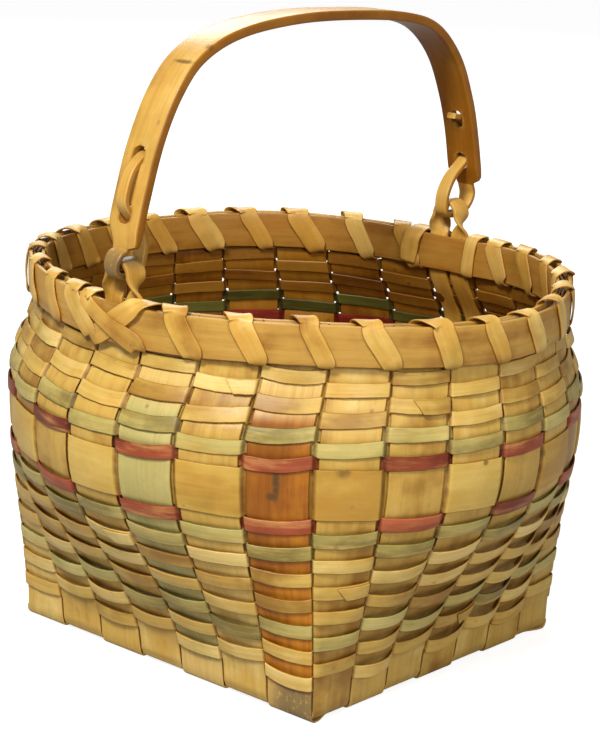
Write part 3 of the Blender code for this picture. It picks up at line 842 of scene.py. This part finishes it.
# The handle's middle line in mm, from the end of one tail to the end of the other. A tail's points are
# x, z and its width, and the bow's are x and z.
LEFT_TAIL = (
    (-107.5, 266.0, 6.0), (-115.0, 263.8, 6.4), (-121.8, 258.2, 6.6), (-125.6, 250.8, 6.8),
    (-127.0, 243.2, 7.0), (-122.6, 236.8, 7.2), (-116.6, 230.2, 7.6), (-114.0, 222.5, 8.0),
    (-115.2, 215.0, 8.0), (-116.6, 210.2, 7.6), (-121.0, 208.0, 7.3), (-128.4, 208.0, 7.3),
    (-132.4, 210.0, 8.0), (-133.4, 214.2, 9.0), (-131.0, 218.4, 10.0),
)
RIGHT_TAIL = (
    (138.4, 218.6, 10.0), (137.0, 213.4, 9.0), (133.0, 209.4, 8.0), (128.2, 208.0, 7.3),
    (121.0, 208.0, 7.3), (116.8, 210.2, 7.6), (116.0, 215.4, 8.0), (117.4, 221.5, 8.0),
    (122.6, 229.0, 7.6), (132.6, 236.6, 7.2), (138.8, 242.2, 7.0), (138.4, 249.4, 6.8),
    (135.2, 256.4, 6.6), (128.0, 261.4, 6.4), (120.5, 263.0, 6.0),
)
BOW_LINE = (
    (-127.0, 221.0), (-120.8, 244.0), (-112.3, 270.0), (-100.3, 293.0), (-84.2, 309.5),
    (-57.0, 319.8), (-15.0, 324.2), (30.0, 323.5), (68.0, 320.3), (92.5, 313.2),
    (111.0, 296.8), (123.2, 274.0), (130.4, 252.0), (136.6, 224.0),
)
# Each slot's middle, x and z, and its length, in mm.
SLOTS = (
    (-122.8, 237.0, 9.6), (-114.6, 263.7, 9.8), (133.4, 237.4, 9.4), (127.6, 261.4, 10.0),
)
# Other sizes of the handle in mm. SLOT_ROUND is a slot's end radius as a share of its width.
BOW_HALF = 10.3
FOOT_HALF = 5.0
BOW_THICK = 5.0
TAIL_THICK = 3.0
SLOT_WIDTH = 7.5
SLOT_REACH = 9.0
SLOT_ROUND = 0.42


def handle_line():
    """The tails' and the bow's lines, as rows of (x, z, half width to -Y, half width to +Y, thickness)."""
    bow = catmull(np.array(BOW_LINE), 14)
    foot, head = BOW_LINE[0], BOW_LINE[-1]
    left = np.array(LEFT_TAIL + ((*foot, 2 * FOOT_HALF), (-124.6, 230.0, 2 * FOOT_HALF)))
    right = np.array(((135.5, 232.0, 2 * FOOT_HALF), (*head, 2 * FOOT_HALF)) + RIGHT_TAIL)
    left = catmull(left, 8)[:-8]
    right = catmull(right, 8)[8:]
    run = run_lengths(bow)
    back = run[-1] - run
    grow = BOW_HALF - FOOT_HALF
    near_step = np.clip(run / 2.6, 0, 1)
    near_step = np.sqrt(np.clip(1 - (1 - near_step) ** 2, 0, 1)) * (run < 80) + (run >= 80)
    far_step = 0.35 * smoothstep(back / 2.0) + 0.65 * np.clip(back / 3.4, 0, 1)
    minus = FOOT_HALF + grow * np.minimum(near_step, far_step) + 0.2 * wave(run / 40, 5)
    plus = FOOT_HALF + grow * np.minimum(smoothstep(run / 15), smoothstep(back / 9))
    plus = plus + 0.2 * wave(run / 35, 6)
    ends = np.minimum(run, back)
    thick = TAIL_THICK + (BOW_THICK - TAIL_THICK) * smoothstep(ends / 10) + 0.2 * wave(run / 30, 8)
    middle = np.column_stack([bow, minus, plus, thick])
    tails = []
    for rows in (left, right):
        half = rows[:, 2] / 2
        thick = np.full(len(rows), TAIL_THICK)
        tails.append(np.column_stack([rows[:, :2], half, half, thick]))
    return tails[0], middle, tails[1]


def handle_bar(name, rows, seed, rounding, aged_and_shaded):
    centre = np.column_stack([rows[:, 0], (rows[:, 3] - rows[:, 2]) / 2, rows[:, 1]]) * MM
    line = centre * np.array([1, 0, 1])
    side = np.tile([0.0, 1.0, 0.0], (len(rows), 1))
    out = np.cross(unit(np.gradient(line, axis=0)), side)
    wide = (rows[:, 2] + rows[:, 3]) * MM
    return bar_mesh(name, centre, side, out, wide, rows[:, 4] * MM, rounding, seed, 0.5, aged_and_shaded)


def slot_cutter(index, x, z, length, line):
    """A block with round ends, square to the bow."""
    near = int(np.argmin(np.hypot(line[:, 0] - x, line[:, 1] - z)))
    near = min(max(near, 1), len(line) - 2)
    run = line[near + 1, :2] - line[near - 1, :2]
    turn = -math.atan2(run[1], run[0])
    radius = SLOT_ROUND * SLOT_WIDTH
    ring = []
    for quarter, (a, b) in enumerate(((1, 1), (-1, 1), (-1, -1), (1, -1))):
        for step in range(7):
            angle = (quarter + step / 6) * math.pi / 2
            ring.append((
                a * (length / 2 - radius) + radius * math.cos(angle),
                b * (SLOT_WIDTH / 2 - radius) + radius * math.sin(angle),
            ))
    count = len(ring)
    points = [(px * MM, py * MM, end * SLOT_REACH * MM) for end in (-1, 1) for px, py in ring]
    faces = [range(count)[::-1], range(count, 2 * count)]
    faces += [(i, (i + 1) % count, (i + 1) % count + count, i + count) for i in range(count)]
    mesh = bpy.data.meshes.new(f"slot_{index}")
    mesh.from_pydata(points, [], faces)
    obj = add_object(mesh.name, mesh)
    obj.matrix_world = Matrix.Translation((x * MM, 0, z * MM)) @ Matrix.Rotation(turn, 4, "Y")
    return obj


def cut_slots(obj, line):
    cutters = [slot_cutter(i, *slot, line) for i, slot in enumerate(SLOTS)]
    for cutter in cutters:
        modifier = obj.modifiers.new(cutter.name, "BOOLEAN")
        modifier.operation = "DIFFERENCE"
        modifier.solver = "EXACT"
        modifier.object = cutter
    bpy.context.view_layer.update()
    made = bpy.data.meshes.new_from_object(obj.evaluated_get(bpy.context.evaluated_depsgraph_get()))
    obj.modifiers.clear()
    obj.data = made
    for cutter in cutters:
        bpy.data.objects.remove(cutter, do_unlink=True)


def add_handle(woods):
    left, middle, right = handle_line()
    bow = add_object("bow", handle_bar("bow", middle, 5, (0.09, 0.42), (0.95, 0.95)))
    cut_slots(bow, middle)
    bm = bmesh.new()
    bm.from_mesh(bow.data)
    for rows, seed in ((left, 6), (right, 7)):
        bm.from_mesh(handle_bar("tail", rows, seed, (0.22, 0.6), (0.1, 0.6)))
    mesh = bpy.data.meshes.new("swing_handle")
    bm.to_mesh(mesh)
    bm.free()
    bpy.data.objects.remove(bow, do_unlink=True)
    mesh.polygons.foreach_set("use_smooth", [True] * len(mesh.polygons))
    mesh.set_sharp_from_angle(angle=math.radians(48))
    add_piece("swing_handle", mesh, woods["handle"], "handle_wood", "handle_bow", body=HANDLE)


# -------- materials

class Nodes:
    """Short ways to add nodes to one material."""

    def __init__(self, name):
        self.material = bpy.data.materials.new(name)
        self.material.use_nodes = True
        self.tree = self.material.node_tree
        self.shader = self.tree.nodes["Principled BSDF"]
        self.uv = self.add("ShaderNodeUVMap", {}, uv_map="grain").outputs[0]
        self.place = self.add("ShaderNodeTexCoord", {}).outputs["Object"]

    def feed(self, node, inputs):
        """Gives a node's inputs a value or a link."""
        for key, source in inputs.items():
            if isinstance(source, (int, float, tuple)):
                node.inputs[key].default_value = source
            else:
                self.tree.links.new(source, node.inputs[key])

    def add(self, kind, inputs, **settings):
        node = self.tree.nodes.new(kind)
        for key, value in settings.items():
            setattr(node, key, value)
        self.feed(node, inputs)
        return node

    def math(self, operation, a, b):
        return self.add("ShaderNodeMath", {0: a, 1: b}, operation=operation).outputs[0]

    def times(self, a, b):
        return self.math("MULTIPLY", a, b)

    def plus(self, a, b):
        return self.math("ADD", a, b)

    def ramp(self, value, low, high, start=0.0, end=1.0):
        inputs = dict(enumerate((value, low, high, start, end)))
        return self.add("ShaderNodeMapRange", inputs, interpolation_type="SMOOTHSTEP").outputs[0]

    def scaled(self, vector, scale, shift):
        inputs = {"Vector": vector, "Scale": scale, "Location": shift}
        return self.add("ShaderNodeMapping", inputs).outputs[0]

    def noise(self, vector, scale, detail=3.0, rough=0.55, shift=(0, 0, 0)):
        inputs = {
            "Vector": self.scaled(vector, scale, shift), "Scale": 1.0, "Detail": detail, "Roughness": rough,
        }
        return self.add("ShaderNodeTexNoise", inputs).outputs[0]

    def patches(self, vector, scale, shift, low, high, detail=3.0, rough=0.6):
        """1 where the noise is above high and 0 where it is below low."""
        return self.ramp(self.noise(vector, scale, detail, rough, shift), low, high)

    def spots(self, vector, scale, size, shift=(0, 0, 0)):
        inputs = {"Vector": self.scaled(vector, scale, shift), "Scale": 1.0, "Randomness": 1.0}
        node = self.add("ShaderNodeTexVoronoi", inputs)
        return self.ramp(node.outputs["Distance"], size * 0.5, size, 1.0, 0.0)

    def mix(self, share, first, second, kind="MIX"):
        inputs = {0: share, 6: first, 7: second}
        return self.add("ShaderNodeMix", inputs, data_type="RGBA", blend_type=kind).outputs[2]

    def attribute(self, name):
        return self.add("ShaderNodeAttribute", {}, attribute_name=name).outputs["Fac"]

    def near(self, point, radius, squeeze):
        """1 at a point of the object, 0 beyond radius."""
        shift = self.add("ShaderNodeVectorMath", {0: self.place, 1: point}, operation="SUBTRACT")
        size = self.add("ShaderNodeVectorMath", {0: shift.outputs[0], 1: squeeze}, operation="MULTIPLY")
        length = self.add("ShaderNodeVectorMath", {0: size.outputs[0]}, operation="LENGTH")
        return self.ramp(length.outputs["Value"], radius * 0.35, radius, 1.0, 0.0)


def rgb(colour):
    """A colour as screens show it, from 0 to 255, made linear for the shader."""
    made = []
    for value in colour:
        share = value / 255
        made.append(share / 12.92 if share <= 0.04045 else ((share + 0.055) / 1.055) ** 2.4)
    return (*made, 1.0)


# Linear colours that a wood's colour is multiplied by, or mixed with.
MOSS = (0.62, 0.66, 0.40, 1.0)
AMBER = (0.96, 0.74, 0.42, 1.0)
SMUDGE = (0.50, 0.46, 0.30, 1.0)
STREAK = (0.66, 0.50, 0.32, 1.0)
FINE_STREAK = (0.60, 0.42, 0.24, 1.0)
# The next three colours darken the inner side: partly age and stain, partly painted shade inside the basket.
AGE_AND_SHADE = (0.52, 0.34, 0.11, 1.0)
GREEN_INSIDE = (0.22, 0.27, 0.13, 1.0)
RED_INSIDE = (0.50, 0.12, 0.06, 1.0)
# Used for dirt in specks and pores, and for dirt with painted shade in the dips and gaps.
DIRT_AND_SHADE = (0.30, 0.17, 0.07, 1.0)
BROWN = (0.10, 0.045, 0.012, 1.0)
GREY = (0.12, 0.085, 0.042, 1.0)
ROUND = (1.0, 1.0, 1.0)

# Single marks: the place and the radius in mm, how it is squeezed, its colour and its strength.
KNOTS = (
    ((-94.5, -116.0, 131.0), 5.0, ROUND, BROWN, 0.6),
    ((15.5, -150.0, 124.5), 3.8, ROUND, BROWN, 0.8),
    ((-28.5, -148.0, 129.0), 2.2, ROUND, BROWN, 0.7),
)
CRACKS = (
    ((-116.0, -93.5, 123.5), 3.4, (1.3, 1.3, 0.24), BROWN, 1.0),
    ((-117.5, -92.0, 117.0), 2.8, (0.7, 0.7, 0.9), BROWN, 0.9),
    ((-103.0, -108.5, 112.0), 2.2, ROUND, BROWN, 0.8),
    ((-97.0, -92.0, 7.0), 17.0, (1.0, 0.8, 0.8), GREY, 0.75),
)
SCARS = (
    ((-90.0, -3.0, 307.5), 2.6, (0.35, 0.30, 2.2), BROWN, 0.75),
    ((-80.0, -9.0, 314.0), 3.0, ROUND, BROWN, 0.6),
    ((-133.0, 0.0, 212.0), 13.0, (0.8, 0.8, 0.9), GREY, 0.7),
)
EAR_MARKS = (
    ((-124.5, 0.0, 214.0), 11.0, ROUND, GREY, 0.8),
)


def blotches(n, wide, light, middle, dark):
    """The plain wood: each strip's own tone with soft blotches."""
    blot = n.noise(n.place, (48, 48, 60), 3.0, 0.6)
    base = n.plus(n.attribute("tone"), n.times(n.math("SUBTRACT", wide, 0.5), 1.3))
    base = n.plus(base, n.times(n.math("SUBTRACT", blot, 0.5), 0.9))
    colour = n.mix(n.ramp(base, 0.0, 0.5), rgb(dark), rgb(middle))
    return n.mix(n.ramp(base, 0.5, 1.05), colour, rgb(light))


def rim_and_foot(n):
    """1 near the rim and at the foot."""
    height = n.add("ShaderNodeSeparateXYZ", {0: n.place}).outputs[2]
    above = n.ramp(height, 150 * MM, 160 * MM)
    below = n.ramp(height, 12 * MM, 19 * MM, 1.0, 0.0)
    return n.math("MAXIMUM", above, below)


def worn_and_shaded(n, colour, grime_and_shade, marks, inside):
    """Adds specks, age and painted shade on the inner side and cut edges, dirt and painted shade in the dips
    and gaps, and single marks.
    """
    specks = n.spots(n.uv, (75, 95, 1), 0.13, (2, 5, 0))
    rare = n.patches(n.uv, (11, 33, 1), (1, 8, 0), 0.50, 0.58, 2.0, 0.5)
    colour = n.mix(n.times(n.times(specks, rare), 0.7), colour, DIRT_AND_SHADE)
    # Age and painted shade on the inner side, and age with painted shadow lines on cut edges.
    colour = n.mix(n.ramp(n.attribute("aged_and_shaded"), 0.0, 1.0), colour, inside, "MULTIPLY")
    # Dirt and painted shade in the dips and gaps between strips.
    dirt_and_shade = n.times(grime_and_shade, n.ramp(n.noise(n.place, (240, 240, 240)), 0.2, 0.7, 0.6, 1.0))
    colour = n.mix(n.times(dirt_and_shade, 0.9), colour, DIRT_AND_SHADE, "MULTIPLY")
    for (x, y, z), radius, squeeze, tint, strength in marks:
        ragged = n.ramp(n.noise(n.place, (420, 420, 420)), 0.22, 0.46)
        mark = n.times(n.near((x * MM, y * MM, z * MM), radius * MM, squeeze), strength)
        colour = n.mix(n.times(mark, ragged), colour, tint)
    return colour


def wood(name, light, middle, dark, streak=0.3, mottle=0.5, gloss=0.44, marks=(), fade=None, high=None,
         bump=0.3, inside=AGE_AND_SHADE):
    """Split wood: soft blotches, stains, streaks along the grain, pores and wear, with painted shade on the
    inner side, along cut edges and in the dips.
    fade is the bare wood that shows through a worn dye, and high takes over near the rim and at the foot."""
    n = Nodes(name)
    grime_and_shade = n.attribute("grime_and_shade")
    wide = n.noise(n.uv, (10, 70, 1))
    streaks = n.noise(n.uv, (16, 420, 1), 4.0, 0.6)
    fine = n.noise(n.uv, (60, 2100, 1), 3.0, 0.6, (3, 7, 1))
    pores = n.spots(n.uv, (150, 1300, 1), 0.20)
    colour = blotches(n, wide, light, middle, dark)
    if fade:
        worn = n.patches(n.uv, (34, 240, 1), (5, 2, 0), 0.44, 0.72, 4.0, 0.65)
        colour = n.mix(n.times(worn, 0.75), colour, rgb(fade))
    if high:
        colour = n.mix(rim_and_foot(n), colour, rgb(high))
    for cover, share, tint in (
        (n.patches(n.place, (26, 26, 34), (4, 1, 2), 0.50, 0.72), mottle * 0.8, MOSS),
        (n.patches(n.uv, (22, 90, 1), (7, 3, 0), 0.50, 0.74), mottle, AMBER),
        (n.patches(n.uv, (55, 170, 1), (2, 9, 0), 0.62, 0.76), mottle * 0.55, SMUDGE),
        (n.ramp(streaks, 0.34, 0.60, 1.0, 0.0), streak, STREAK),
        (n.ramp(fine, 0.30, 0.46, 1.0, 0.0), streak, FINE_STREAK),
    ):
        colour = n.mix(n.times(cover, share), colour, tint, "MULTIPLY")
    rare = n.patches(n.uv, (30, 120, 1), (9, 1, 0), 0.50, 0.62, 2.0, 0.5)
    colour = n.mix(n.times(n.times(pores, rare), 0.5), colour, DIRT_AND_SHADE)
    rough = n.plus(gloss, n.times(n.math("SUBTRACT", wide, 0.5), 0.25))
    height = n.plus(n.plus(n.times(streaks, 0.5), n.times(fine, 0.3)), n.times(wide, 1.6))
    height = n.math("SUBTRACT", height, n.times(pores, 0.25))
    grain = n.add("ShaderNodeBump", {"Strength": bump, "Distance": 0.5 * MM, "Height": height})
    n.feed(n.shader, {
        "Base Color": worn_and_shaded(n, colour, grime_and_shade, marks, inside),
        "Roughness": n.plus(rough, n.times(grime_and_shade, 0.2)),
        "Specular IOR Level": 0.35,
        "Coat Weight": 0.08,
        "Coat Roughness": 0.4,
        "Normal": grain.outputs[0],
    })
    return n.material


def make_woods():
    """Each wood with its light, middle and dark colour."""
    return {
        "tan": wood("splint_tan", (232, 202, 126), (210, 172, 86), (164, 120, 46), mottle=0.62),
        "wide": wood(
            "splint_wide", (220, 184, 98), (204, 164, 74), (184, 138, 54), streak=0.12, mottle=0.4,
            marks=KNOTS, bump=0.2,
        ),
        "green": wood(
            "splint_green", (214, 196, 124), (188, 170, 98), (140, 122, 62), fade=(212, 182, 104),
            inside=GREEN_INSIDE,
        ),
        "red": wood(
            "splint_red", (192, 104, 64), (158, 72, 42), (112, 42, 22), fade=(204, 146, 84),
            inside=RED_INSIDE,
        ),
        "stake_tan": wood("upright_tan", (228, 196, 118), (206, 166, 80), (162, 116, 44), streak=0.2),
        "stake_orange": wood(
            "upright_orange", (214, 146, 40), (194, 122, 24), (150, 86, 14), streak=0.4, marks=CRACKS,
            high=(216, 176, 100), mottle=0.25,
        ),
        "stake_green": wood(
            "upright_green", (206, 192, 126), (186, 170, 102), (150, 132, 70), streak=0.2, mottle=0.35,
            high=(216, 180, 104),
        ),
        "rim": wood("rim_wood", (216, 174, 94), (196, 150, 68), (156, 106, 38), streak=0.25, mottle=0.35),
        "lash": wood("binding_splint", (234, 196, 112), (210, 162, 72), (158, 104, 32), streak=0.2),
        "ear": wood("ear_wood", (226, 180, 92), (196, 146, 58), (150, 98, 30), marks=EAR_MARKS),
        "handle": wood(
            "handle_wood", (228, 190, 108), (206, 160, 76), (168, 116, 44), gloss=0.36, streak=0.25,
            bump=0.18, marks=SCARS,
        ),
    }


# -------- light, floor and camera

AZIMUTH = -48.34
ELEVATION = 14.73
ROLL = math.radians(2.03)
DISTANCE = 1.20114
LENS = 111.75
TARGET_RIGHT = 0.0021
TARGET_UP = 0.13981
FLOOR_REACH = 14.0
WARM = (1.0, 1.0, 0.95)


def direction(azimuth, elevation):
    """From the basket towards something at this azimuth and elevation, in degrees."""
    a, e = math.radians(azimuth), math.radians(elevation)
    return Vector((math.sin(a) * math.cos(e), -math.cos(a) * math.cos(e), math.sin(e)))


def add_camera():
    away = direction(AZIMUTH, ELEVATION)
    right = Vector((math.cos(math.radians(AZIMUTH)), math.sin(math.radians(AZIMUTH)), 0.0))
    up = away.cross(right)
    eye = right * TARGET_RIGHT + Vector((0, 0, TARGET_UP)) + away * DISTANCE
    x_axis = right * math.cos(ROLL) + up * math.sin(ROLL)
    y_axis = up * math.cos(ROLL) - right * math.sin(ROLL)
    data = bpy.data.cameras.new("camera")
    data.lens = LENS
    data.sensor_width = 36.0
    data.clip_start = 0.05
    data.clip_end = 60.0
    camera = add_object("camera", data)
    matrix = Matrix((x_axis, y_axis, away)).transposed().to_4x4()
    matrix.translation = eye
    camera.matrix_world = matrix
    bpy.context.scene.camera = camera


def add_light(name, azimuth, elevation, distance, size, power):
    data = bpy.data.lights.new(name, "AREA")
    data.shape = "SQUARE"
    data.size = size
    data.energy = power
    data.color = WARM
    obj = add_object(name, data)
    towards = direction(azimuth, elevation)
    obj.location = towards * distance + Vector((0, 0, 0.12))
    obj.rotation_euler = towards.to_track_quat("Z", "Y").to_euler()


def seen_or_lighting(tree, seen, lighting):
    """A strength that is seen by the camera and another that lights the basket."""
    path = tree.nodes.new("ShaderNodeLightPath")
    node = tree.nodes.new("ShaderNodeMapRange")
    tree.links.new(path.outputs["Is Camera Ray"], node.inputs[0])
    node.inputs[3].default_value = lighting
    node.inputs[4].default_value = seen
    return node.outputs[0]


def add_studio():
    mesh = bpy.data.meshes.new("floor")
    corners = [(x * FLOOR_REACH, y * FLOOR_REACH, 0) for x, y in ((-1, -1), (1, -1), (1, 1), (-1, 1))]
    mesh.from_pydata(corners, [], [(0, 1, 2, 3)])
    floor = add_object("floor", mesh)
    material = bpy.data.materials.new("floor_white")
    material.use_nodes = True
    tree = material.node_tree
    shader = tree.nodes["Principled BSDF"]
    looks = {
        "Base Color": (0.4, 0.4, 0.4, 1), "Roughness": 0.9, "Specular IOR Level": 0.1,
        "Emission Color": (1, 1, 1, 1),
    }
    for socket, value in looks.items():
        shader.inputs[socket].default_value = value
    tree.links.new(seen_or_lighting(tree, 0.84, 0.0), shader.inputs["Emission Strength"])
    mesh.materials.append(material)
    world = bpy.data.worlds.new("studio")
    world.use_nodes = True
    bpy.context.scene.world = world
    background = world.node_tree.nodes["Background"]
    background.inputs["Color"].default_value = (1, 1, 1, 1)
    world.node_tree.links.new(seen_or_lighting(world.node_tree, 1.0, 0.27), background.inputs["Strength"])
    add_light("key", -74, 48, 2.2, 0.45, 46)
    add_light("front", -26, 24, 2.4, 0.6, 18)
    add_light("back", 140, 34, 2.4, 0.9, 20)
    bpy.context.scene.view_settings.view_transform = "Standard"


def main():
    woods = make_woods()
    for add in (add_stakes, add_weaving, add_rim, add_ears, add_handle):
        add(woods)
    add_studio()
    add_camera()


main()
